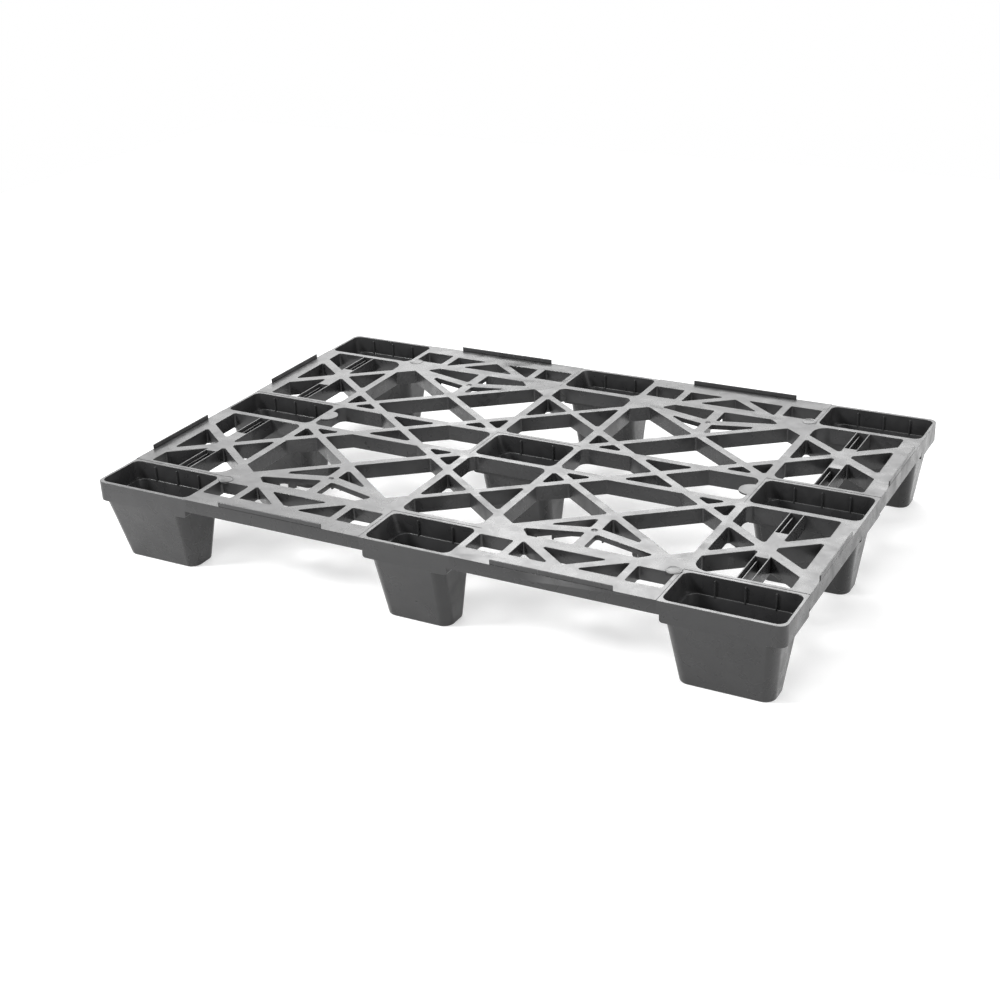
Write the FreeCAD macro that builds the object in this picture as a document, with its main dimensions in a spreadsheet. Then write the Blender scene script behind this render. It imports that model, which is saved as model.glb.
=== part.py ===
"""Nestable plastic pallet, 1200 x 800 mm, moulded in one piece.

The deck is an open lattice of hollow ribs round nine tapered cup-shaped legs. The moulding is built region by
region: each leg with its rim, each deck panel between the legs and each anti-slip lip is a solid of its own, and
neighbours meet face to face on the seam planes, which run along the middle of the ribs.
X runs along the length, Y along the width (back is +Y) and Z up from the floor at the centre of the footprint.
The quarter at +X +Y is modelled and the others mirror it.
"""

import FreeCAD, Part

import math
import os

import Sketcher
from FreeCAD import Placement, Rotation, Vector

SIZES = {
    # The whole pallet
    "length": 1200,
    "width": 800,
    "deck_height": 142,
    "corner_radius": 14,
    # Anti-slip lips on the edge of the deck
    "lip_height": 8,
    "lip_thickness": 2.5,
    "long_lip_length": 198,
    "long_lip_centre": 247,
    "short_lip_length": 153,
    "short_lip_centre": 175.5,
    # Cup openings and the rims round them
    "cup_width": 91,
    "end_cup_length": 179,
    "centre_cup_length": 149,
    "cup_corner_radius": 13,
    "end_rim": 5,
    "long_rim": 6.5,
    "side_rim": 5.5,
    "inner_rim": 4,
    "rim_depth": 22.5,
    "rim_drop": 0.5,
    # Legs: collar, ledge, tapered shaft and foot
    "collar_depth": 34.5,
    "collar_edge_radius": 5,
    "leg_wall": 3.5,
    "foot_floor": 4,
    "shaft_step_inner": 5.5,
    "shaft_step_outer": 10,
    "shaft_step_centre": 11,
    "shaft_radius": 18,
    "throat_step": 6,
    "throat_draft": 0.5,
    "ledge_side": 1.5,
    "foot_taper_inner": 10.5,
    "foot_taper_outer": 13,
    "foot_taper_centre": 5.5,
    "foot_taper_side": 21,
    "foot_taper_edge": 26,
    "foot_edge_radius": 3,
    "nesting_rib": 2.5,
    "nesting_rib_start": 5,
    "nesting_rib_pitch": 46,
    "nesting_rib_centre_pitch": 31,
    # Ribs of the deck
    "deck_wall": 3,
    "rib_width": 14,
    "cross_offset": 10.5,
    "rib_fillet": 4,
    "long_rail_inner": 8,
    "long_rail_outer": 7,
    "row_rail_inner": 6.5,
    "row_rail_outer": 7,
    "strip_rail": 18,
    "strip_rail_inner": 6,
    "lattice_depth": 26,
    # Fan of shallow ribs beside the strips
    "fan_offset": 6,
    "fan_distance": 62.8,
    "fan_slope": 0.26,
    "fan_rib": 19,
    "fan_end": 6,
    "fan_reach": 109,
    "fan_foot": 91,
    "fan_depth": 9,
    "fan_bar": 62,
    "fan_bar_strip": 90,
    # Edge strips
    "strip_depth": 22.5,
    "strip_flange": 36,
    "strip_rib": 16,
    "strip_post": 14,
    "strip_fillet": 2.5,
    "truss_flange": 40.5,
    "truss_apex": 3.5,
    "truss_tip": 6.5,
    # End panels
    "end_depth": 27.5,
    "end_flange": 30,
    "end_rail": 7.5,
    "end_rib": 15,
    "end_outer_rib": 18,
    "plate_width": 24,
    "plate_offset": 8.5,
    "plate_inner": 54,
    "plate_outer": 33.5,
    "slot_wall": 2,
    "end_corner_inner": 15,
    "end_corner_outer": 26,
    # Centre panels
    "centre_rib": 12.5,
    "centre_rail": 9,
    "centre_corner": 15,
    # Middle panels
    "middle_depth": 28,
    "middle_corner": 14,
    "tab_radius": 20,
}
# How far a cutting outline runs past a seam plane, so that it cuts clean through it
PAST = 6


class Size:
    """A number together with the spreadsheet formula that gives it."""

    def __init__(self, value, text=None):
        self.value = value
        self.text = text or f"{value:g}"

    def _join(self, other, sign, value):
        return Size(value, f"({self.text} {sign} {other.text})")

    def __add__(self, other):
        other = as_size(other)
        return self._join(other, "+", self.value + other.value)

    def __sub__(self, other):
        other = as_size(other)
        return self._join(other, "-", self.value - other.value)

    def __mul__(self, other):
        other = as_size(other)
        return self._join(other, "*", self.value * other.value)

    def __truediv__(self, other):
        other = as_size(other)
        return self._join(other, "/", self.value / other.value)

    def __neg__(self):
        return Size(0, "0") - self

    def limited(self, other):
        """The smaller of the two."""
        return Size(min(self.value, other.value), f"min({self.text}; {other.text})")


def as_size(number):
    return number if isinstance(number, Size) else Size(number)


doc = FreeCAD.newDocument("Pallet")
sheet = doc.addObject("Spreadsheet::Sheet", "Sizes")
for row, (alias, value) in enumerate(SIZES.items(), start=1):
    sheet.set(f"A{row}", alias)
    sheet.set(f"B{row}", str(value))
    sheet.setAlias(f"B{row}", alias)
doc.recompute()
S = {alias: Size(value, f"Sizes.{alias}") for alias, value in SIZES.items()}

layout = doc.addObject("App::VarSet", "Layout")


def derived(name, size):
    """Keeps a value that the regions share in the document, under its own name."""
    layout.addProperty("App::PropertyFloat", name)
    setattr(layout, name, size.value)
    layout.setExpression(name, size.text)
    return Size(size.value, f"Layout.{name}")


# Lines of the plan that the regions share
half_length = derived("half_length", S["length"] / 2)
half_width = derived("half_width", S["width"] / 2)
cup_half_width = derived("cup_half_width", S["cup_width"] / 2)
centre_cup_half = derived("centre_cup_half", S["centre_cup_length"] / 2)
end_cup_outer = derived("end_cup_outer", half_length - S["end_rim"])
end_cup_inner = derived("end_cup_inner", end_cup_outer - S["end_cup_length"])
row_cup_outer = derived("row_cup_outer", half_width - S["long_rim"])
row_cup_inner = derived("row_cup_inner", row_cup_outer - S["cup_width"])
seam_x_inner = derived("seam_x_inner", centre_cup_half + S["side_rim"])
seam_x_outer = derived("seam_x_outer", end_cup_inner - S["inner_rim"])
seam_y_inner = derived("seam_y_inner", cup_half_width + S["side_rim"])
seam_y_outer = derived("seam_y_outer", row_cup_inner - S["side_rim"])
deck_top = S["deck_height"]

# The lattice: every diagonal rib has one slope and passes through a node of one diamond net. The net's foot is on
# the middle line, its crown is net_y out from there, and its sides meet the cross ribs net_end out
net_x = derived("net_x", (seam_x_inner + seam_x_outer) / 2)
net_y = derived("net_y", (seam_y_inner + seam_y_outer) / 2)
net_end = derived("net_end", net_y + S["cross_offset"])
slope = derived("slope", net_end / net_x)
lean = derived("lean", Size(math.hypot(1, slope.value), f"sqrt(1 + {slope.text} * {slope.text})"))


# Sketches and features


def plane(body, role):
    return next(f for f in body.Origin.OriginFeatures if f.Role == role)


def new_body(label):
    body = doc.addObject("PartDesign::Body", label)
    body.Label = label
    return body


def sketch_at(body, name, height):
    """A sketch of the body, parallel to the floor at the given height."""
    sketch = body.newObject("Sketcher::SketchObject", f"{body.Name}_{name}")
    sketch.AttachmentSupport = [(plane(body, "XY_Plane"), "")]
    sketch.MapMode = "FlatFace"
    sketch.AttachmentOffset = Placement(Vector(0, 0, height.value), Rotation())
    sketch.setExpression("AttachmentOffset.Base.z", height.text)
    return sketch


def hold(sketch, kind, geometry, point, size):
    """Holds one point of the sketch at a distance from the origin."""
    index = sketch.addConstraint(Sketcher.Constraint(kind, -1, 1, geometry, point, size.value))
    sketch.setExpression(f"Constraints[{index}]", size.text)


def outline(sketch, corners):
    """Adds a closed outline with every corner held at its own formulas."""
    first = sketch.GeometryCount
    count = len(corners)
    corners = [(as_size(x), as_size(y)) for x, y in corners]
    spots = [Vector(x.value, y.value, 0) for x, y in corners]
    for i in range(count):
        sketch.addGeometry(Part.LineSegment(spots[i], spots[(i + 1) % count]), False)
    for i in range(count):
        sketch.addConstraint(Sketcher.Constraint("Coincident", first + i, 2, first + (i + 1) % count, 1))
    for i, (x, y) in enumerate(corners):
        hold(sketch, "DistanceX", first + i, 1, x)
        hold(sketch, "DistanceY", first + i, 1, y)


def rectangle(sketch, x0, x1, y0, y1):
    outline(sketch, [(x0, y0), (x1, y0), (x1, y1), (x0, y1)])


def rounded_rectangle(sketch, x0, x1, y0, y1, radius):
    """Adds a rectangle with equal rounded corners, four lines and four arcs in turn."""
    r = radius.value
    left, right, low, high = x0.value, x1.value, y0.value, y1.value
    line_ends = [
        ((left + r, low), (right - r, low)),
        ((right, low + r), (right, high - r)),
        ((right - r, high), (left + r, high)),
        ((left, high - r), (left, low + r)),
    ]
    centres = [(right - r, low + r), (right - r, high - r), (left + r, high - r), (left + r, low + r)]
    first = sketch.GeometryCount
    for i, (start, end) in enumerate(line_ends):
        sketch.addGeometry(Part.LineSegment(Vector(*start, 0), Vector(*end, 0)), False)
        circle = Part.Circle(Vector(*centres[i], 0), Vector(0, 0, 1), r)
        quarter = math.pi / 2
        sketch.addGeometry(Part.ArcOfCircle(circle, (i - 1) * quarter, i * quarter), False)
    for i in range(8):
        sketch.addConstraint(Sketcher.Constraint("Tangent", first + i, 2, first + (i + 1) % 8, 1))
    for i, kind in enumerate(("Horizontal", "Vertical", "Horizontal", "Vertical")):
        sketch.addConstraint(Sketcher.Constraint(kind, first + 2 * i))
    for i in (3, 5, 7):
        sketch.addConstraint(Sketcher.Constraint("Equal", first + 1, first + i))
    index = sketch.addConstraint(Sketcher.Constraint("Radius", first + 1, r))
    sketch.setExpression(f"Constraints[{index}]", radius.text)
    hold(sketch, "DistanceY", first, 1, y0)
    hold(sketch, "DistanceX", first + 2, 1, x1)
    hold(sketch, "DistanceY", first + 4, 1, y1)
    hold(sketch, "DistanceX", first + 6, 1, x0)


def pad(body, name, sketch, height):
    """Raises the sketch by the given height."""
    feature = body.newObject("PartDesign::Pad", f"{body.Name}_{name}")
    feature.Profile = sketch
    feature.Length = height.value
    feature.setExpression("Length", height.text)
    doc.recompute()
    return feature


def pocket(body, name, sketch):
    """Cuts the sketch down through everything below it."""
    before = body.Tip.Shape.Volume
    feature = body.newObject("PartDesign::Pocket", f"{body.Name}_{name}")
    feature.Profile = sketch
    feature.Type = "ThroughAll"
    doc.recompute()
    if not feature.Shape.Volume < before - 1:
        raise RuntimeError(f"{feature.Name} cuts nothing")
    return feature


def loft(body, kind, name, lower, upper):
    feature = body.newObject(f"PartDesign::{kind}Loft", f"{body.Name}_{name}")
    feature.Profile = lower
    feature.Sections = [upper]
    feature.Ruled = True
    doc.recompute()
    return feature


def fillet(body, name, radius, wanted):
    """Rounds the body's straight edges whose two ends pass the test."""
    base = body.Tip
    edges = []
    for number, edge in enumerate(base.Shape.Edges, start=1):
        ends = [v.Point for v in edge.Vertexes]
        if len(ends) == 2 and wanted(*ends):
            edges.append(f"Edge{number}")
    feature = body.newObject("PartDesign::Fillet", f"{body.Name}_{name}")
    feature.Base = (base, edges)
    feature.Radius = radius.value
    feature.setExpression("Radius", radius.text)
    doc.recompute()
    return feature


def upright(a, b):
    return abs(a.x - b.x) < 0.01 and abs(a.y - b.y) < 0.01


def corner_at(*corners):
    """A test for upright edges at the given corners of the plan."""
    spots = [(as_size(x).value, as_size(y).value) for x, y in corners]
    return lambda a, b: upright(a, b) and any(math.hypot(a.x - x, a.y - y) < 0.5 for x, y in spots)


def hollow(body, open_sides):
    """Leaves a sheet on top and a wall round every rib, open below and on the seam planes."""
    base = body.Tip
    bottom = base.Shape.BoundBox.ZMin
    faces = []
    for number, face in enumerate(base.Shape.Faces, start=1):
        box = face.BoundBox
        flat = {"z": (box.ZMin, box.ZMax), "x": (box.XMin, box.XMax), "y": (box.YMin, box.YMax)}
        planes = [("z", bottom)] + [(axis, size.value) for axis, size in open_sides]
        if any(abs(flat[axis][0] - at) < 0.01 and abs(flat[axis][1] - at) < 0.01 for axis, at in planes):
            faces.append(f"Face{number}")
    feature = body.newObject("PartDesign::Thickness", f"{body.Name}_hollow")
    feature.Base = (base, faces)
    feature.Value = S["deck_wall"].value
    feature.setExpression("Value", S["deck_wall"].text)
    feature.Reversed = True
    feature.Join = "Intersection"
    doc.recompute()
    return feature


def panel(label, span, depth, cells, corners, open_sides, fixed=()):
    """A region of the deck: a block with its cells cut through, corners rounded, then hollowed from below.
    corners holds (radius, corner test) pairs, and the remaining cell corners get the general fillet."""
    x0, x1, y0, y1 = span
    body = new_body(label)
    block = sketch_at(body, "block", deck_top - depth)
    rectangle(block, x0, x1, y0, y1)
    pad(body, "deck", block, depth)
    plan = sketch_at(body, "plan", deck_top)
    for cell in cells:
        outline(plan, cell)
    pocket(body, "cells", plan)
    for number, (radius, spots) in enumerate(corners, start=1):
        fillet(body, f"corner{number}", radius, corner_at(*spots))
    keep_sharp = corner_at(*fixed)
    done = {v.Point.z for v in body.Tip.Shape.Vertexes}
    low, high = min(done), max(done)

    def cell_corner(a, b):
        inside = x0.value + 0.5 < a.x < x1.value - 0.5 and y0.value + 0.5 < a.y < y1.value - 0.5
        full = abs(abs(a.z - b.z) - (high - low)) < 0.01
        return upright(a, b) and inside and full and not keep_sharp(a, b) and sharp(body.Tip.Shape, a)

    fillet(body, "round", S["rib_fillet"], cell_corner)
    hollow(body, open_sides)
    return body


def sharp(shape, spot):
    """Whether the faces that meet at a corner of the plan are all flat."""
    for face in shape.Faces:
        if face.Surface.TypeId != "Part::GeomPlane":
            box = face.BoundBox
            if box.XMin - 0.01 < spot.x < box.XMax + 0.01 and box.YMin - 0.01 < spot.y < box.YMax + 0.01:
                return False
    return True


# Lattice panel: diamonds of ribs between the rails, with the fan beside the strip


def across(points):
    """The same corners on the other side of the net's middle line."""
    return [(net_x * 2 - x, y) for x, y in points]


rib = derived("rib", S["rib_width"] / 2 * lean)
rib_side = derived("rib_side", rib / slope)
rail_left = derived("rail_left", seam_x_inner + S["long_rail_outer"])
rail_right = derived("rail_right", seam_x_outer - S["long_rail_outer"])
row_edge = derived("row_edge", seam_y_inner + S["row_rail_outer"])
strip_edge = derived("strip_edge", seam_y_outer - S["strip_rail_inner"])
node_x = derived("node_x", net_x - net_y / slope / 2)
node_y = derived("node_y", net_y / 2)


def falling(x, shift):
    """Height in the plan of the rib that falls to the net's foot, on the left of it."""
    return slope * (net_x - x) + shift


def rising(x, shift):
    """Height in the plan of the rib that rises to the net's crown, on the left of it."""
    return net_y - slope * (net_x - x) + shift


def climbing(x, shift):
    """Height in the plan of the rib that leaves the crown up to the left."""
    return net_y + slope * (net_x - x) + shift


pentagon_x = net_x - (row_edge - rib) / slope
pentagon = [(pentagon_x, row_edge), (node_x + rib_side, node_y), (net_x, net_y - rib)]
pentagon += across(pentagon[1::-1])
side_top = derived("side_top", (net_y + slope * net_x - net_end) / slope / 2)
side = [
    (rail_left, falling(rail_left, rib)),
    (node_x, node_y + rib),
    (net_x - rib_side, net_y),
    (side_top, climbing(side_top, -rib)),
    (rail_left, net_end + slope * rail_left - rib),
]
wedge = [
    (rail_left, rising(rail_left, rib)),
    (node_x - rib_side, node_y),
    (rail_left, falling(rail_left, -rib)),
]
row_wedge = [
    (net_x - (net_y - rib - row_edge) / slope, row_edge),
    (node_x, node_y - rib),
    (net_x - (row_edge + rib) / slope, row_edge),
]

fan_slope = S["fan_slope"]
fan_x = derived("fan_x", net_x - S["fan_offset"])
fan_y = derived("fan_y", seam_y_outer - S["fan_distance"])
fan_half = S["fan_rib"] / 2
fan_lean = Size(math.hypot(1, fan_slope.value), f"sqrt(1 + {fan_slope.text} * {fan_slope.text})")
fan_rise = derived("fan_rise", fan_half * fan_lean)
fan_reach = derived("fan_reach", (fan_y - fan_rise - net_y - rib - S["fan_end"]) / (slope - fan_slope))
fan = []
for direction in (-1, 1):
    post = fan_x + fan_half * direction
    reach = net_x + fan_reach * direction
    far = net_x + S["fan_reach"] * direction
    foot = net_x + S["fan_foot"] * direction

    def shallow(x, shift):
        return fan_y + fan_slope * (x - fan_x) * direction + shift

    def crown(x):
        return net_y + slope * (x - net_x) * direction + rib

    fan.append(
        [
            (post, crown(post)),
            (reach, crown(reach)),
            (reach, shallow(reach, -fan_rise)),
            (post, shallow(post, -fan_rise)),
        ]
    )
    fan.append(
        [
            (post, shallow(post, fan_rise)),
            (far, shallow(far, fan_rise)),
            (foot, strip_edge),
            (post, strip_edge),
        ]
    )

blunt_corners = fan[0][1:3] + fan[2][1:3]
lattice = panel(
    "lattice_panel_back_right",
    (seam_x_inner, seam_x_outer, seam_y_inner, seam_y_outer),
    S["lattice_depth"],
    [pentagon, side, across(side), wedge, across(wedge), row_wedge, across(row_wedge)] + fan,
    [(S["rib_fillet"].limited(S["fan_end"] / 4), blunt_corners)],
    [("x", seam_x_inner), ("x", seam_x_outer), ("y", seam_y_inner), ("y", seam_y_outer)],
)

# The fan's own bars are shallow: their walls are trimmed from below on both sides of the hub, further on the side
# of the edge strip, and along the post between the hub and the strip.
bar_side = derived("bar_side", fan_half + S["deck_wall"])
bar_rise = derived("bar_rise", bar_side * fan_lean)
bar_end = fan_y + fan_slope * S["fan_bar"] - bar_rise
bar_end_strip = fan_y + fan_slope * S["fan_bar_strip"] + bar_rise
bar_turn = fan_y + fan_slope * bar_side + bar_rise
post_end = strip_edge - S["rib_fillet"]
trim = sketch_at(lattice, "trim", deck_top - S["fan_depth"])
outline(
    trim,
    [
        (fan_x - S["fan_bar"], bar_end),
        (fan_x, fan_y - bar_rise),
        (fan_x + S["fan_bar"], bar_end),
        (fan_x + S["fan_bar_strip"], bar_end_strip),
        (fan_x + bar_side, bar_turn),
        (fan_x + bar_side, post_end),
        (fan_x - bar_side, post_end),
        (fan_x - bar_side, bar_turn),
        (fan_x - S["fan_bar_strip"], bar_end_strip),
    ],
)
pocket(lattice, "shallow_bars", trim)

# Edge strip: two windows and a flat truss between the strip rail and the flange at the edge

strip_low = derived("strip_low", seam_y_outer + S["strip_rail"])
strip_high = derived("strip_high", half_width - S["strip_flange"])
strip_rise = S["strip_rib"] * lean
truss_high = derived("truss_high", half_width - S["truss_flange"])
apex_y = truss_high - S["truss_apex"]
truss_x = derived("truss_x", net_x - (apex_y - strip_low) / slope)
post_x = derived("post_x", truss_x - strip_rise / slope - S["truss_tip"])
tip_y = derived("tip_y", strip_low - S["truss_tip"] * slope)
window_x = derived("window_x", post_x - S["strip_post"])
window = [(rail_left, strip_low), (window_x, strip_low), (window_x, strip_high), (rail_left, strip_high)]
half_gable = [(post_x, tip_y), (post_x + (truss_high - tip_y) / slope, truss_high), (post_x, truss_high)]
gable = [(truss_x, strip_low), (net_x * 2 - truss_x, strip_low), (net_x, apex_y)]
truss_corners = half_gable + across(half_gable) + gable

panel(
    "edge_strip_back_right",
    (seam_x_inner, seam_x_outer, seam_y_outer, half_width),
    S["strip_depth"],
    [window, across(window), half_gable, across(half_gable), gable],
    [(S["strip_fillet"], truss_corners)],
    [("x", seam_x_inner), ("x", seam_x_outer), ("y", seam_y_outer)],
)

# End panel: the net's side node stiffened by a plate, with a thin-walled slot on each side of it

net_side = net_x * 2
end_rise = derived("end_rise", S["end_rib"] / 2 * lean)
end_outer_rise = derived("end_outer_rise", S["end_outer_rib"] / 2 * lean)
end_left = derived("end_left", seam_x_outer + S["end_rail"])
end_right = derived("end_right", half_length - S["end_flange"])
plate_right = derived("plate_right", net_side + S["plate_offset"] + S["plate_width"] / 2)
plate_left = derived("plate_left", plate_right - S["plate_width"])
plate_low = derived("plate_low", net_end - S["plate_inner"])
plate_high = derived("plate_high", net_end + S["plate_outer"])
end_cells = [
    [
        (end_left, row_edge),
        (end_right, row_edge),
        (end_right, net_end - slope * (end_right - net_side) - end_outer_rise),
        (plate_right, net_end - slope * (plate_right - net_side) - end_outer_rise),
        (plate_right, plate_low),
        (plate_left, plate_low),
        (plate_left, net_end - slope * (net_side - plate_left) - end_rise),
        (end_left, net_end - slope * (net_side - end_left) - end_rise),
    ],
    [
        (end_left, net_end - slope * (net_side - end_left) + end_rise),
        (net_side - end_rise / slope, net_end),
        (end_left, net_end + slope * (net_side - end_left) - end_rise),
    ],
    [
        (plate_right, net_end - slope * (plate_right - net_side) + end_outer_rise),
        (end_right, net_end - slope * (end_right - net_side) + end_outer_rise),
        (end_right, net_end + slope * (end_right - net_side) - end_outer_rise),
        (plate_right, net_end + slope * (plate_right - net_side) - end_outer_rise),
    ],
    [
        (end_left, strip_edge),
        (end_left, net_end + slope * (net_side - end_left) + end_rise),
        (plate_left, net_end + slope * (net_side - plate_left) + end_rise),
        (plate_left, plate_high),
        (plate_right, plate_high),
        (plate_right, net_end + slope * (plate_right - net_side) + end_outer_rise),
        (end_right, net_end + slope * (end_right - net_side) + end_outer_rise),
        (end_right, strip_edge),
    ],
]
end_panel = panel(
    "end_panel_back_right",
    (seam_x_outer, half_length, seam_y_inner, seam_y_outer),
    S["end_depth"],
    end_cells,
    [
        (S["end_corner_inner"], [(end_left, row_edge)]),
        (S["end_corner_outer"].limited((strip_edge - end_cells[3][1][1]) * 0.7), [(end_left, strip_edge)]),
    ],
    [("x", seam_x_outer), ("y", seam_y_inner), ("y", seam_y_outer)],
    fixed=[
        (plate_left, plate_low),
        (plate_right, plate_low),
        (plate_left, plate_high),
        (plate_right, plate_high),
        end_cells[3][5],
    ],
)
walls = sketch_at(end_panel, "slots", deck_top - S["end_depth"])
for wall_x in (plate_left, plate_right - S["slot_wall"]):
    for start, end in ((row_edge - S["deck_wall"], plate_low), (plate_high, strip_edge + S["deck_wall"])):
        rectangle(walls, wall_x, wall_x + S["slot_wall"], start, end)
pad(end_panel, "slot_walls", walls, S["end_depth"])

# Centre panel: half of a cross of slim ribs, cut by the seam along the middle of the pallet

centre_rise = derived("centre_rise", S["centre_rib"] / 2 * lean)
centre_edge = derived("centre_edge", seam_x_inner - S["long_rail_inner"])
centre_high = derived("centre_high", seam_y_outer - S["centre_rail"])
past = Size(PAST)
centre_cells = [
    [
        (-past, row_edge),
        (centre_edge, row_edge),
        (centre_edge, net_end - slope * centre_edge - centre_rise),
        (-past, net_end + slope * past - centre_rise),
    ],
    [
        (centre_edge, net_end - slope * centre_edge + centre_rise),
        (centre_edge, net_end + slope * centre_edge - centre_rise),
        (centre_rise / slope, net_end),
    ],
    [
        (-past, net_end - slope * past + centre_rise),
        (centre_edge, net_end + slope * centre_edge + centre_rise),
        (centre_edge, centre_high),
        (-past, centre_high),
    ],
]
panel(
    "centre_panel_back_right",
    (Size(0), seam_x_inner, seam_y_inner, seam_y_outer),
    S["lattice_depth"],
    centre_cells,
    [
        (
            S["centre_corner"].limited((centre_high - centre_cells[2][1][1]) * 0.7),
            [(centre_edge, row_edge), (centre_edge, centre_high)],
        )
    ],
    [("x", Size(0)), ("x", seam_x_inner), ("y", seam_y_inner), ("y", seam_y_outer)],
)

# Middle panel: the foot of both nets, with a round tab on the rail beside the end cup

middle_edge = derived("middle_edge", seam_y_inner - S["row_rail_inner"])
middle_tip = net_x - rib / slope
middle_base = derived("middle_base", net_x - (middle_edge + rib) / slope)
crotch = derived("crotch", net_x - (middle_edge - rib) / slope)
middle_left = [(rail_left, -middle_edge), (middle_base, -middle_edge), (middle_tip, Size(0))]
middle_left += [(middle_base, middle_edge), (rail_left, middle_edge)]
middle_back = [(crotch, middle_edge), (net_x, rib), (net_side - crotch, middle_edge)]
middle = panel(
    "middle_panel_right",
    (seam_x_inner, seam_x_outer, -seam_y_inner, seam_y_inner),
    S["middle_depth"],
    [middle_left, across(middle_left), middle_back, [(x, -y) for x, y in middle_back]],
    [
        (
            S["middle_corner"],
            [(x, y) for x in (rail_left, rail_right) for y in (-middle_edge, middle_edge)],
        )
    ],
    [("x", seam_x_inner), ("x", seam_x_outer), ("y", -seam_y_inner), ("y", seam_y_inner)],
)
tab = sketch_at(middle, "tab", deck_top - S["deck_wall"])
rounded_rectangle(
    tab,
    rail_right - S["tab_radius"],
    seam_x_outer + S["tab_radius"],
    -S["tab_radius"],
    S["tab_radius"],
    S["tab_radius"] - 0.5,
)
pad(middle, "tab_sheet", tab, S["deck_wall"])
trim = sketch_at(middle, "trim", deck_top)
rectangle(trim, seam_x_outer, seam_x_outer + S["tab_radius"] + past, -S["tab_radius"] - past, S["tab_radius"] + past)
pocket(middle, "trimmed", trim)

# Legs


def grow(rectangle_sizes, *steps):
    """The rectangle (x0, x1, y0, y1) with each side moved inwards by its own step."""
    x0, x1, y0, y1 = rectangle_sizes
    left, right, low, high = steps
    return x0 + left, x1 - right, y0 + low, y1 - high


def leg(label, region, collar, cup, steps, tapers, rib_places, rounded_corner=None):
    """A cup-shaped leg. region is the rim's block, collar the deeper band round the cup and cup its mouth, each
    a rectangle (x0, x1, y0, y1). steps lead from the collar in to the shaft, and tapers from there to the foot."""
    body = new_body(label)
    rim_top = deck_top - S["rim_drop"]
    collar_low = deck_top - S["collar_depth"]
    ledge = collar_low + S["leg_wall"]
    wall = S["leg_wall"]
    shaft = grow(collar, *steps)
    foot = grow(shaft, *tapers)
    throat_in = [step + wall - S["throat_step"] for step in steps[:2]]
    throat = (collar[0] + throat_in[0], collar[1] - throat_in[1])
    throat += (cup[2] + S["throat_draft"], cup[3] - S["throat_draft"])
    inner = (shaft[0] + wall, shaft[1] - wall, throat[2] + S["ledge_side"], throat[3] - S["ledge_side"])
    inner_radius = S["shaft_radius"] - wall

    rim = sketch_at(body, "rim", deck_top - S["rim_depth"])
    rectangle(rim, *region)
    pad(body, "rim_block", rim, S["rim_depth"] - S["rim_drop"])
    band = sketch_at(body, "collar", collar_low)
    rectangle(band, *collar)
    pad(body, "collar_block", band, S["collar_depth"] - S["rim_drop"])
    if rounded_corner:
        fillet(body, "corner", S["corner_radius"], corner_at(rounded_corner))
    ends = (collar[0].value,) if rounded_corner else (collar[0].value, collar[1].value)
    fillet(
        body,
        "collar_edge",
        S["collar_edge_radius"],
        lambda a, b: all(abs(p.z - collar_low.value) < 0.01 for p in (a, b))
        and abs(a.x - b.x) < 0.01
        and min(abs(a.x - end) for end in ends) < 0.01,
    )
    shaft_top = sketch_at(body, "shaft", collar_low)
    rounded_rectangle(shaft_top, *shaft, S["shaft_radius"])
    foot_plan = sketch_at(body, "foot", Size(0))
    rounded_rectangle(foot_plan, *foot, S["shaft_radius"])
    loft(body, "Additive", "taper", shaft_top, foot_plan)
    fillet(body, "foot_edge", S["foot_edge_radius"], lambda a, b: abs(a.z) < 0.01 and abs(b.z) < 0.01)

    mouth = sketch_at(body, "mouth", rim_top)
    rounded_rectangle(mouth, *cup, S["cup_corner_radius"])
    throat_plan = sketch_at(body, "throat", ledge)
    rounded_rectangle(throat_plan, *throat, S["cup_corner_radius"])
    loft(body, "Subtractive", "cup", mouth, throat_plan)
    inner_top = sketch_at(body, "inner", ledge)
    rounded_rectangle(inner_top, *inner, inner_radius)
    inner_foot = sketch_at(body, "inner_foot", S["foot_floor"])
    rounded_rectangle(inner_foot, *grow(foot, wall, wall, wall, wall), inner_radius)
    loft(body, "Subtractive", "well", inner_top, inner_foot)

    thickness = S["nesting_rib"]
    ribs = sketch_at(body, "ribs", ledge - wall / 2)
    for place in rib_places:
        left = place - thickness / 2
        low_side = (cup[2] - wall / 2, inner[2] + thickness / 2)
        high_side = (inner[3] - thickness / 2, cup[3] + wall / 2)
        for start, end in (low_side, high_side):
            rectangle(ribs, left, left + thickness, start, end)
    pad(body, "nesting_ribs", ribs, rim_top - S["nesting_rib_start"] - ledge + wall / 2)
    return body


row_region = (seam_y_outer, half_width)
row_collar = (row_cup_inner - S["inner_rim"], half_width)
row_cup = (row_cup_inner, row_cup_outer)
middle_region = (-seam_y_inner, seam_y_inner)
middle_collar = (-cup_half_width - S["inner_rim"], cup_half_width + S["inner_rim"])
middle_cup = (-cup_half_width, cup_half_width)
end_region = (seam_x_outer, half_length)
end_collar = (end_cup_inner, half_length)
end_cup = (end_cup_inner, end_cup_outer)
centre_region = (-seam_x_inner, seam_x_inner)
centre_cup = (-centre_cup_half, centre_cup_half)
end_steps = (S["shaft_step_inner"], S["shaft_step_outer"])
centre_steps = (S["shaft_step_centre"], S["shaft_step_centre"])
side_steps = (Size(0), Size(0))
end_tapers = (S["foot_taper_inner"], S["foot_taper_outer"])
centre_tapers = (S["foot_taper_centre"], S["foot_taper_centre"])
row_tapers = (S["foot_taper_side"], S["foot_taper_edge"])
middle_tapers = (S["foot_taper_side"], S["foot_taper_side"])
end_middle = (end_collar[0] + end_collar[1]) / 2
end_ribs = [end_middle - S["nesting_rib_pitch"], end_middle, end_middle + S["nesting_rib_pitch"]]
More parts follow.
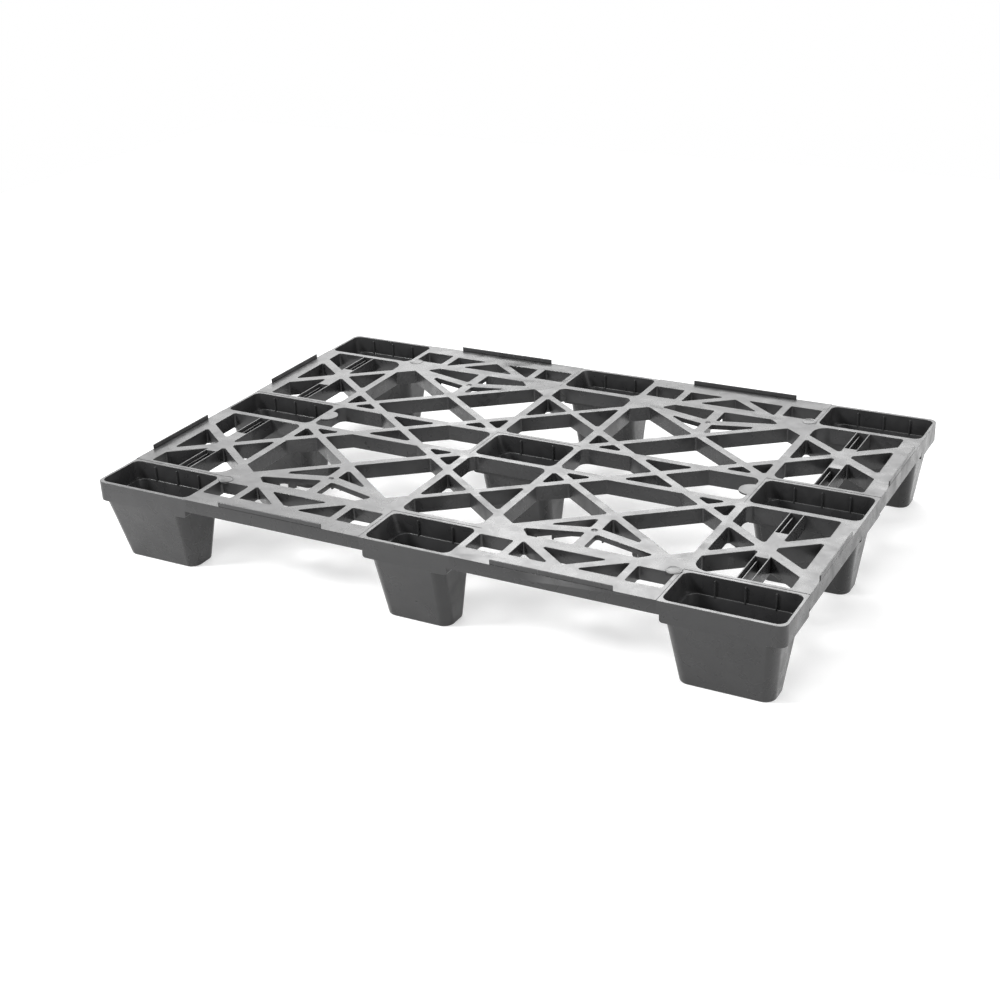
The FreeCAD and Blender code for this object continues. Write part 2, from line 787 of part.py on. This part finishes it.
centre_ribs = [-S["nesting_rib_centre_pitch"], S["nesting_rib_centre_pitch"]]

leg(
    "leg_back_right",
    end_region + row_region,
    end_collar + row_collar,
    end_cup + row_cup,
    end_steps + side_steps,
    end_tapers + row_tapers,
    end_ribs,
    rounded_corner=(half_length, half_width),
)
leg(
    "leg_back_centre",
    centre_region + row_region,
    centre_cup + row_collar,
    centre_cup + row_cup,
    centre_steps + side_steps,
    centre_tapers + row_tapers,
    centre_ribs,
)
leg(
    "leg_middle_right",
    end_region + middle_region,
    end_collar + middle_collar,
    end_cup + middle_cup,
    end_steps + side_steps,
    end_tapers + middle_tapers,
    end_ribs,
)
leg(
    "leg_middle_centre",
    centre_region + middle_region,
    centre_cup + middle_collar,
    centre_cup + middle_cup,
    centre_steps + side_steps,
    centre_tapers + middle_tapers,
    centre_ribs,
)

# Lips: low ridges along the outer edge that keep a load from sliding off


def lip(label, x0, y0, long_x, long_y):
    box = doc.addObject("Part::Box", label)
    box.Label = label
    for name, size in (("Length", long_x), ("Width", long_y), ("Height", S["lip_height"])):
        setattr(box, name, size.value)
        box.setExpression(name, size.text)
    for axis, size in (("x", x0), ("y", y0), ("z", deck_top)):
        box.setExpression(f"Placement.Base.{axis}", size.text)


lip(
    "lip_back_right",
    S["long_lip_centre"] - S["long_lip_length"] / 2,
    half_width - S["lip_thickness"],
    S["long_lip_length"],
    S["lip_thickness"],
)
lip(
    "lip_right_back",
    half_length - S["lip_thickness"],
    S["short_lip_centre"] - S["short_lip_length"] / 2,
    S["lip_thickness"],
    S["short_lip_length"],
)

# The other quarters


def mirror(source, label, normal):
    copy = doc.addObject("Part::Mirroring", label)
    copy.Label = label
    copy.Source = doc.getObject(source)
    copy.Normal = normal
    return copy


ACROSS_LENGTH = Vector(1, 0, 0)
ACROSS_WIDTH = Vector(0, 1, 0)
for name in ("leg", "edge_strip", "end_panel", "lattice_panel", "centre_panel", "lip"):
    mirror(f"{name}_back_right", f"{name}_back_left", ACROSS_LENGTH)
    mirror(f"{name}_back_right", f"{name}_front_right", ACROSS_WIDTH)
    mirror(f"{name}_back_left", f"{name}_front_left", ACROSS_WIDTH)
mirror("leg_back_centre", "leg_front_centre", ACROSS_WIDTH)
mirror("leg_middle_right", "leg_middle_left", ACROSS_LENGTH)
mirror("middle_panel_right", "middle_panel_left", ACROSS_LENGTH)
mirror("lip_right_back", "lip_left_back", ACROSS_LENGTH)
mirror("lip_right_back", "lip_right_front", ACROSS_WIDTH)
mirror("lip_left_back", "lip_left_front", ACROSS_WIDTH)

doc.recompute()

for item in doc.Objects:
    if "Invalid" in item.State or "Error" in item.State:
        raise RuntimeError(f"{item.Name} did not compute: {item.State}")
parts = [item for item in doc.Objects if item.TypeId in ("PartDesign::Body", "Part::Box", "Part::Mirroring")]
for item in parts:
    if item.Shape.isNull() or not item.Shape.isValid() or len(item.Shape.Solids) != 1:
        raise RuntimeError(f"{item.Label} is not one valid solid")

os.makedirs("parts", exist_ok=True)
for item in parts:
    item.Shape.exportStep(f"parts/{item.Label}.step")
print(f"{len(parts)} parts, {sum(item.Shape.Volume for item in parts) / 1e6:.2f} litres of plastic")
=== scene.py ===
"""Looks of the nestable plastic pallet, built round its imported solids."""

import math

import bmesh
import bpy
from mathutils import Euler, Matrix, Vector


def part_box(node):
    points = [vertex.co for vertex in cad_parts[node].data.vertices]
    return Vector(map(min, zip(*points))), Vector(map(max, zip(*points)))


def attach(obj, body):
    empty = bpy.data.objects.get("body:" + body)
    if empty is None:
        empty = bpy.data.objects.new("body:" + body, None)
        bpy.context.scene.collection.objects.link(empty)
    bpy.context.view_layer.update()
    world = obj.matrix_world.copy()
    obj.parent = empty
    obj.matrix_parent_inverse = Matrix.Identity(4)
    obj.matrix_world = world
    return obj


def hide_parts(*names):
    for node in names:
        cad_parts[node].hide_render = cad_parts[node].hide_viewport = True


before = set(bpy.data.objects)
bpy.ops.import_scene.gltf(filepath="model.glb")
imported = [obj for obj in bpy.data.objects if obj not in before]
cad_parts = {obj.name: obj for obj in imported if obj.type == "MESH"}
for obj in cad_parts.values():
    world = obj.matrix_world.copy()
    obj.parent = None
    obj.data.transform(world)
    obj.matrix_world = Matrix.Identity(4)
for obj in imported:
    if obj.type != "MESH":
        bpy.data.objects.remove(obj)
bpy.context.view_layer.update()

# Camera: a slightly long lens, held at chest height beyond the pallet's front right corner. It looks down
# at about 25 degrees and leans a little to one side.

scene = bpy.context.scene
lens = bpy.data.cameras.new("camera")
lens.lens = 56.78
lens.sensor_width = 36
lens.clip_end = 60
camera = bpy.data.objects.new("camera", lens)
camera.location = (1.1665, -2.1789, 1.1966)
camera.rotation_euler = Euler((math.radians(65.08), math.radians(2.167), math.radians(28.223)), "XYZ")
scene.collection.objects.link(camera)
scene.camera = camera

# Studio: a seamless white floor, and a white surround that the eye and the plastic's gloss both see. The
# floor keeps the pallet's soft shadow, and its whiteness comes from the glow, not from more light on the
# pallet.

FLOOR_SIZE = 5.4
FLOOR_PAINT = 0.6
FLOOR_GLOW = 0.5
SURROUND_LIGHT = 0.02
SURROUND_WHITE = 1.0

scene.view_settings.view_transform = "Standard"


def seen_or_mirrored(tree):
    """One where the eye sees a surface straight, mirrored or through glass, and nought elsewhere."""
    path = tree.nodes.new("ShaderNodeLightPath")
    total = path.outputs["Is Camera Ray"]
    for kind in ("Is Glossy Ray", "Is Transmission Ray"):
        larger = tree.nodes.new("ShaderNodeMath")
        larger.operation = "MAXIMUM"
        tree.links.new(total, larger.inputs[0])
        tree.links.new(path.outputs[kind], larger.inputs[1])
        total = larger.outputs[0]
    return total


def white_floor():
    """A matt paint that takes shadows, with a glow added where it is seen or mirrored."""
    material = bpy.data.materials.new("white floor")
    material.use_nodes = True
    nodes, links = material.node_tree.nodes, material.node_tree.links
    nodes.clear()
    paint = nodes.new("ShaderNodeBsdfDiffuse")
    paint.inputs["Color"].default_value = (FLOOR_PAINT, FLOOR_PAINT, FLOOR_PAINT, 1)
    glow = nodes.new("ShaderNodeEmission")
    glow.inputs["Strength"].default_value = FLOOR_GLOW
    glowing = nodes.new("ShaderNodeAddShader")
    mix = nodes.new("ShaderNodeMixShader")
    out = nodes.new("ShaderNodeOutputMaterial")
    links.new(paint.outputs[0], glowing.inputs[0])
    links.new(glow.outputs[0], glowing.inputs[1])
    links.new(seen_or_mirrored(material.node_tree), mix.inputs["Fac"])
    links.new(paint.outputs[0], mix.inputs[1])
    links.new(glowing.outputs[0], mix.inputs[2])
    links.new(mix.outputs[0], out.inputs["Surface"])
    return material


def white_surround():
    """A world that is white where it is seen or mirrored, and almost dark as a light."""
    world = bpy.data.worlds.new("white studio")
    world.use_nodes = True
    nodes, links = world.node_tree.nodes, world.node_tree.links
    nodes.clear()
    mix = nodes.new("ShaderNodeMixShader")
    out = nodes.new("ShaderNodeOutputWorld")
    links.new(seen_or_mirrored(world.node_tree), mix.inputs["Fac"])
    for socket, strength in ((mix.inputs[1], SURROUND_LIGHT), (mix.inputs[2], SURROUND_WHITE)):
        background = nodes.new("ShaderNodeBackground")
        background.inputs["Color"].default_value = (1, 1, 1, 1)
        background.inputs["Strength"].default_value = strength
        links.new(background.outputs[0], socket)
    links.new(mix.outputs[0], out.inputs["Surface"])
    return world


half = FLOOR_SIZE / 2
floor_mesh = bpy.data.meshes.new("floor")
floor_mesh.from_pydata(
    [(-half, -half, 0), (half, -half, 0), (half, half, 0), (-half, half, 0)], [], [(0, 1, 2, 3)]
)
floor_mesh.materials.append(white_floor())
floor = bpy.data.objects.new("floor", floor_mesh)
scene.collection.objects.link(floor)
scene.world = white_surround()

# Lights: a small key from the front left, and four broad softboxes behind the pallet, whose reflections lie
# along the tops of the ribs. Three more fill its front, its cups from above and its right side.

AIM = (0, 0, 0.1)  # the point that every lamp faces, inside the pallet


def softbox(name, place, width, height, power):
    """A lamp with a rectangular face, turned to the aim and hidden from the eye."""
    lamp = bpy.data.lights.new(name, "AREA")
    lamp.shape = "RECTANGLE"
    lamp.size = width
    lamp.size_y = height
    lamp.energy = power
    lamp_object = bpy.data.objects.new(name, lamp)
    turn = (Vector(AIM) - Vector(place)).to_track_quat("-Z", "Y")
    lamp_object.matrix_world = Matrix.Translation(place) @ turn.to_matrix().to_4x4()
    lamp_object.visible_camera = False
    scene.collection.objects.link(lamp_object)


softbox("right back softbox", (1.973, 3.418, 1.536), width=1.9, height=1.9, power=34)
softbox("back softbox", (-0.599, 3.387, 2.509), width=3.4, height=1.9, power=106)
softbox("high back softbox", (-1.350, 2.338, 3.317), width=1.9, height=1.9, power=90)
softbox("low back softbox", (-2.791, 2.791, 1.536), width=1.9, height=1.9, power=25)
softbox("key", (-2.434, -2.246, 2.700), width=0.9, height=0.9, power=165)
softbox("front softbox", (-1.022, -3.813, 1.536), width=1.9, height=1.9, power=32)
softbox("top softbox", (0.491, -1.350, 4.047), width=1.9, height=1.9, power=60)
softbox("right softbox", (3.677, -1.000, 1.875), width=2.6, height=1.9, power=85)

# Plastic: one charcoal polypropylene moulding throughout. Its skin is satin with a very fine grain and
# gentle ripples, clouded and streaked by the flow of the melt. A painted highlight makes every rounded
# edge paler.

CHARCOAL_SKIN = {
    "Colour": (0.020, 0.020, 0.0205, 1),
    "Cloud scale": 9,
    "Cloud contrast": 0.2,
    "Streak scale": 42,
    "Streak contrast": 0.3,
    "Grain scale": 900,
    "Grain height": 0.005,
    "Ripple scale": 32,
    "Ripple height": 0.95,
    "Roughness": 0.31,
    "Roughness spread": 0.42,
    # painted highlight: how much paler the colour is on rounded edges
    "Painted edge highlight": 0.5,
}
SKIN_DEPTH = 0.001
POLYPROPYLENE_IOR = 1.5


def moulded_skin():
    """A moulded skin as colour, roughness and height over the surface. It reads the attribute "edge", which
    is one where an edge is rounded and nought elsewhere, and lightens the colour there as a painted
    highlight.
    The height is a share of the skin depth."""
    group = bpy.data.node_groups.new("moulded skin", "ShaderNodeTree")
    for name in CHARCOAL_SKIN:
        kind = "NodeSocketColor" if name == "Colour" else "NodeSocketFloat"
        group.interface.new_socket(name, in_out="INPUT", socket_type=kind)
    group.interface.new_socket("Colour", in_out="OUTPUT", socket_type="NodeSocketColor")
    for name in ("Roughness", "Height"):
        group.interface.new_socket(name, in_out="OUTPUT", socket_type="NodeSocketFloat")
    nodes, links = group.nodes, group.links
    given = nodes.new("NodeGroupInput").outputs
    result = nodes.new("NodeGroupOutput").inputs
    place = nodes.new("ShaderNodeTexCoord")

    def noise(scale, detail, distortion):
        node = nodes.new("ShaderNodeTexNoise")
        node.inputs["Detail"].default_value = detail
        node.inputs["Distortion"].default_value = distortion
        links.new(place.outputs["Object"], node.inputs["Vector"])
        links.new(given[scale], node.inputs["Scale"])
        return node.outputs["Fac"]

    def calc(operation, *values):
        node = nodes.new("ShaderNodeMath")
        node.operation = operation
        for socket, value in zip(node.inputs, values):
            if isinstance(value, (int, float)):
                socket.default_value = value
            else:
                links.new(value, socket)
        return node.outputs[0]

    # A noise is a half on average, so clouds and streaks lighten the skin as much as they darken it.
    cloud = calc("SUBTRACT", noise("Cloud scale", detail=3, distortion=0.8), 0.5)
    streak = calc("SUBTRACT", noise("Streak scale", detail=2, distortion=0.5), 0.5)
    grain = noise("Grain scale", detail=2, distortion=0)
    ripple = noise("Ripple scale", detail=0, distortion=0.3)
    highlight_mask = nodes.new("ShaderNodeAttribute")
    highlight_mask.attribute_name = "edge"

    tone_and_highlight = calc("MULTIPLY_ADD", cloud, given["Cloud contrast"], 1.0)
    tone_and_highlight = calc("MULTIPLY_ADD", streak, given["Streak contrast"], tone_and_highlight)
    # Painted highlight: the colour is made paler where an edge is rounded.
    tone_and_highlight = calc("MULTIPLY_ADD", highlight_mask.outputs["Fac"], given["Painted edge highlight"], tone_and_highlight)
    tint = nodes.new("ShaderNodeVectorMath")
    tint.operation = "SCALE"
    links.new(given["Colour"], tint.inputs[0])
    links.new(tone_and_highlight, tint.inputs["Scale"])
    links.new(tint.outputs[0], result["Colour"])

    rough = calc("MULTIPLY_ADD", cloud, given["Roughness spread"], given["Roughness"])
    rough = calc("MULTIPLY_ADD", streak, given["Roughness spread"], rough)
    links.new(rough, result["Roughness"])

    height = calc("MULTIPLY", grain, given["Grain height"])
    height = calc("MULTIPLY_ADD", ripple, given["Ripple height"], height)
    links.new(height, result["Height"])
    return group


def skinned_plastic(name, group, values):
    """A plastic whose skin is the group with the values given."""
    material = bpy.data.materials.new(name)
    material.use_nodes = True
    nodes, links = material.node_tree.nodes, material.node_tree.links
    shader = nodes["Principled BSDF"]
    shader.inputs["IOR"].default_value = POLYPROPYLENE_IOR
    skin = nodes.new("ShaderNodeGroup")
    skin.node_tree = group
    for socket, value in values.items():
        skin.inputs[socket].default_value = value
    bump = nodes.new("ShaderNodeBump")
    bump.inputs["Strength"].default_value = 1.0
    bump.inputs["Distance"].default_value = SKIN_DEPTH
    links.new(skin.outputs["Colour"], shader.inputs["Base Color"])
    links.new(skin.outputs["Roughness"], shader.inputs["Roughness"])
    links.new(skin.outputs["Height"], bump.inputs["Height"])
    links.new(bump.outputs["Normal"], shader.inputs["Normal"])
    return material


plastic = skinned_plastic("charcoal plastic", moulded_skin(), CHARCOAL_SKIN)

# Legs: nine hollow cups, each with its rim, a deeper collar under it and a shaft that tapers to a flat
# foot. They are moulded in one with the deck. Every outer edge of the moulding is broken by a small radius,
# except where it runs on into the next region.

EDGE_RADIUS = 0.0008  # for the outer edges of legs, panels and strips
RIM_RADIUS = 0.00045  # for the low step from the deck down to the rim of a leg
CREST_ANGLE = math.radians(38)  # outer edges that turn by more than this are rounded
SHADE_ANGLE = math.radians(50)  # edges that turn by more than this are shaded sharp
FLAT_ANGLE = math.radians(0.6)  # faces that turn by less than this are joined into one
MERGE_DISTANCE = 3e-6  # corners of the solid's triangles that are closer than this are one point
SEAM_MARGIN = 2e-5  # how far off a seam plane an edge may lie and still count as on it
LEG_MARGIN = 1e-4  # how far outside a leg's box an edge may lie and still count as beside it
STEP_MARGIN = 2e-4  # how far an edge has to lie above the rim of a leg to be a step

leg_nodes = [
    f"leg_{row}_{column}" for row in ("front", "middle", "back") for column in ("left", "centre", "right")
]
leg_boxes = [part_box(node) for node in leg_nodes]
leg_top = leg_boxes[0][1].z


def seam_planes():
    """The upright planes where one region of the moulding runs on into the next."""
    leg_low, leg_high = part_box("leg_back_centre")
    end_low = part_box("leg_back_right")[0]
    middle_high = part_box("leg_middle_centre")[1]
    across = {0.0, leg_high.x, leg_low.x, end_low.x, -end_low.x}
    along = {middle_high.y, -middle_high.y, leg_low.y, -leg_low.y}
    return across, along


seams_across, seams_along = seam_planes()


def on_seam(edge):
    """Whether an edge lies in a seam plane."""
    a, b = (v.co for v in edge.verts)
    return any(abs(a.x - x) < SEAM_MARGIN and abs(b.x - x) < SEAM_MARGIN for x in seams_across) or any(
        abs(a.y - y) < SEAM_MARGIN and abs(b.y - y) < SEAM_MARGIN for y in seams_along
    )


def beside_leg(edge):
    """Whether an edge of the deck borders on a leg, whose rim lies a little lower."""
    a, b = (v.co for v in edge.verts)
    middle = (a + b) / 2
    return min(a.z, b.z) > leg_top + STEP_MARGIN and any(
        low.x - LEG_MARGIN < middle.x < high.x + LEG_MARGIN
        and low.y - LEG_MARGIN < middle.y < high.y + LEG_MARGIN
        for low, high in leg_boxes
    )


def is_crest(edge):
    """Whether an edge is an outer one that is sharp enough to be rounded."""
    return len(edge.link_faces) == 2 and edge.is_convex and edge.calc_face_angle(0) > CREST_ANGLE


def rounded(shape, edges, radius):
    """Rounds edges of a shape, and gives the faces that this makes."""
    return bmesh.ops.bevel(
        shape, geom=edges, offset=radius, offset_type="OFFSET", segments=2, profile=0.5, affect="EDGES"
    )["faces"]


def softened_shape(node, radius):
    """A copy of a region's solid with its edges rounded and marked for a painted highlight."""
    shape = bmesh.new()
    shape.from_mesh(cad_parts[node].data)
    bmesh.ops.remove_doubles(shape, verts=shape.verts, dist=MERGE_DISTANCE)
    bmesh.ops.dissolve_limit(shape, angle_limit=FLAT_ANGLE, verts=shape.verts, edges=shape.edges)
    steps = [edge for edge in shape.edges if is_crest(edge) and on_seam(edge) and beside_leg(edge)]
    done = {edge for face in rounded(shape, steps, RIM_RADIUS) for edge in face.edges}
    crests = [edge for edge in shape.edges if is_crest(edge) and not on_seam(edge) and edge not in done]
    highlight_faces = rounded(shape, crests, radius)
    # The rounded faces are marked, so that the skin paints a highlight on them.
    highlight_mask = shape.verts.layers.float.new("edge")
    for face in highlight_faces:
        for v in face.verts:
            v[highlight_mask] = 1.0
    for face in shape.faces:
        face.smooth = True
    for edge in shape.edges:
        edge.smooth = len(edge.link_faces) != 2 or edge.calc_face_angle(0) < SHADE_ANGLE
    return shape


def settle(piece, cutters):
    """Cuts the cutters out of a piece, evens its shading and leaves it with a plain mesh."""
    for cutter in cutters:
        cut = piece.modifiers.new("cut", "BOOLEAN")
        cut.operation = "DIFFERENCE"
        cut.object = cutter
    weighted = piece.modifiers.new("even shading", "WEIGHTED_NORMAL")
    weighted.keep_sharp = True
    evaluated = piece.evaluated_get(bpy.context.evaluated_depsgraph_get())
    finished = bpy.data.meshes.new_from_object(evaluated)
    piece.modifiers.clear()
    uncut = piece.data
    piece.data = finished
    bpy.data.meshes.remove(uncut)
    for cutter in cutters:
        bpy.data.objects.remove(cutter)


def mould(node, radius=EDGE_RADIUS, extras=(), cutters=()):
    """Shows a region as plastic with softened edges, instead of its solid. Meshes in extras are added to it
    and objects in cutters are cut out of it."""
    shape = softened_shape(node, radius)
    for extra in extras:
        shape.from_mesh(extra)
        bpy.data.meshes.remove(extra)
    mesh = bpy.data.meshes.new(f"{node}_shape")
    shape.to_mesh(mesh)
    shape.free()
    piece = bpy.data.objects.new(f"{node}_moulding", mesh)
    scene.collection.objects.link(piece)
    settle(piece, cutters)
    piece.data.materials.append(plastic)
    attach(piece, "root")
    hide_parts(node)


for node in leg_nodes:
    mould(node)

# Lattice panels: nets of hollow diagonal ribs between the legs, moulded open below, with a fan of shallower
# bars towards each edge strip. The tool leaves a small dimple at the hub of every fan.

SIDES = {"left": -1, "right": 1, "front": -1, "back": 1}
QUARTERS = [(row, column) for row in ("front", "back") for column in ("left", "right")]
HUB_OFFSET = 0.006  # from the middle of the net towards the middle of the pallet
HUB_DISTANCE = 0.0628  # from the seam with the edge strip
# The form that cuts a dimple, as (radius, height above the deck) from its top down
DIMPLE = (
    (0, 0.001),
    (0.0062, 0.001),
    (0.0062, 0.0001),
    (0.0052, -0.0002),
    (0.0044, -0.0010),
    (0.0028, -0.0019),
    (0, -0.0022),
)

lattice_low, lattice_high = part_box("lattice_panel_back_right")
deck_top = lattice_high.z
net_x = (lattice_low.x + lattice_high.x) / 2


def turned(name, profile, place, sides=40):
    """A closed mesh turned about an upright axis, from (radius, height) pairs given from the top down."""
    x, y, z = place
    turns = [2 * math.pi * i / sides for i in range(sides)]
    shape = bmesh.new()
    rings = []
    for radius, height in profile:
        if radius == 0:
            rings.append([shape.verts.new((x, y, z + height))] * sides)
        else:
            spots = [(x + radius * math.cos(t), y + radius * math.sin(t), z + height) for t in turns]
            rings.append([shape.verts.new(spot) for spot in spots])
    for upper, lower in zip(rings, rings[1:]):
        for i in range(sides):
            j = (i + 1) % sides
            corners = dict.fromkeys((upper[i], lower[i], lower[j], upper[j]))
            shape.faces.new(list(corners))
    for face in shape.faces:
        face.smooth = True
    mesh = bpy.data.meshes.new(name)
    shape.to_mesh(mesh)
    shape.free()
    return mesh


hub_x = net_x - HUB_OFFSET
hub_y = lattice_high.y - HUB_DISTANCE
for row, column in QUARTERS:
    dimple = turned("hub", DIMPLE, (SIDES[column] * hub_x, SIDES[row] * hub_y, deck_top))
    hub = bpy.data.objects.new("hub", dimple)
    scene.collection.objects.link(hub)
    mould(f"lattice_panel_{row}_{column}", cutters=[hub])

# Centre and middle panels: the slim cross between the centre legs, and the foot of both nets between the
# middle legs. They are moulded like the lattice, with hollow ribs that are open below.

for row, column in QUARTERS:
    mould(f"centre_panel_{row}_{column}")
for column in ("left", "right"):
    mould(f"middle_panel_{column}")

# End panels: an X of hollow ribs between two end legs, stiffened by a plate with a thin-walled slot before
# and behind it. Along each slot runs a thin web, moulded with the panel and a little lower than the deck.

PLATE_OFFSET = 0.0085  # from the crossing of the ribs to the middle of the plate and its slots
SLOT_WIDTH = 0.024
WEB_OFFSET = 0.0055  # from the left side of the slot
WEB_THICKNESS = 0.0016
WEB_DROP = 0.005  # from the top of the deck
WEB_EDGE = 0.0003
WEB_RUNS = ((0.055, 0.1305), (0.218, 0.294))  # where the webs start and end, from the middle of the pallet

end_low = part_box("end_panel_back_right")[0]
slot_x = net_x * 2 + PLATE_OFFSET


def plate(name, low, high, radius):
    """A flat plate between two corners with its edges rounded."""
    shape = bmesh.new()
    bmesh.ops.create_cube(shape, size=1)
    for v in shape.verts:
        v.co = [low[i] + (high[i] - low[i]) * (v.co[i] + 0.5) for i in range(3)]
    rounded(shape, shape.edges[:], radius)
    mesh = bpy.data.meshes.new(name)
    shape.to_mesh(mesh)
    shape.free()
    return mesh


for row, column in QUARTERS:
    web_left = SIDES[column] * slot_x - SLOT_WIDTH / 2 + WEB_OFFSET
    web_right = web_left + WEB_THICKNESS
    webs = []
    for run in WEB_RUNS:
        start, end = sorted(SIDES[row] * y for y in run)
        low, high = (web_left, start, end_low.z), (web_right, end, deck_top - WEB_DROP)
        webs.append(plate("web", low, high, WEB_EDGE))
    mould(f"end_panel_{row}_{column}", extras=webs)

# Edge strips: a flat truss along both long sides, moulded with the edge flange. At each end leg the strip
# carries a low round pad, where the melt came into the mould.

PAD_INSET = 0.012  # from the side of the end leg
PAD_DISTANCE = 0.010  # from the inner edge of the end leg
# A pad with a shallow ring groove, as (radius, height above the deck) from its top down into the deck
PAD = (
    (0, 0.0006),
    (0.0088, 0.0006),
    (0.0096, 0.0001),
    (0.0103, 0.0001),
    (0.0110, 0.0006),
    (0.0122, 0.0006),
    (0.0128, 0.0002),
    (0.0130, -0.0030),
    (0, -0.0030),
)

leg_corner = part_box("leg_back_right")[0]
pad_x = leg_corner.x - PAD_INSET
pad_y = leg_corner.y + PAD_DISTANCE
for row, column in QUARTERS:
    pad = turned("pad", PAD, (SIDES[column] * pad_x, SIDES[row] * pad_y, deck_top))
    mould(f"edge_strip_{row}_{column}", extras=[pad])

# Lips: eight low ridges moulded on the outer edge of the deck, which keep a load from sliding off. They are
# thin, with their tops rounded over.

LIP_RADIUS = 0.0011  # a little under half of a lip's thickness

for row, column in QUARTERS:
    mould(f"lip_{row}_{column}", LIP_RADIUS)
    mould(f"lip_{column}_{row}", LIP_RADIUS)
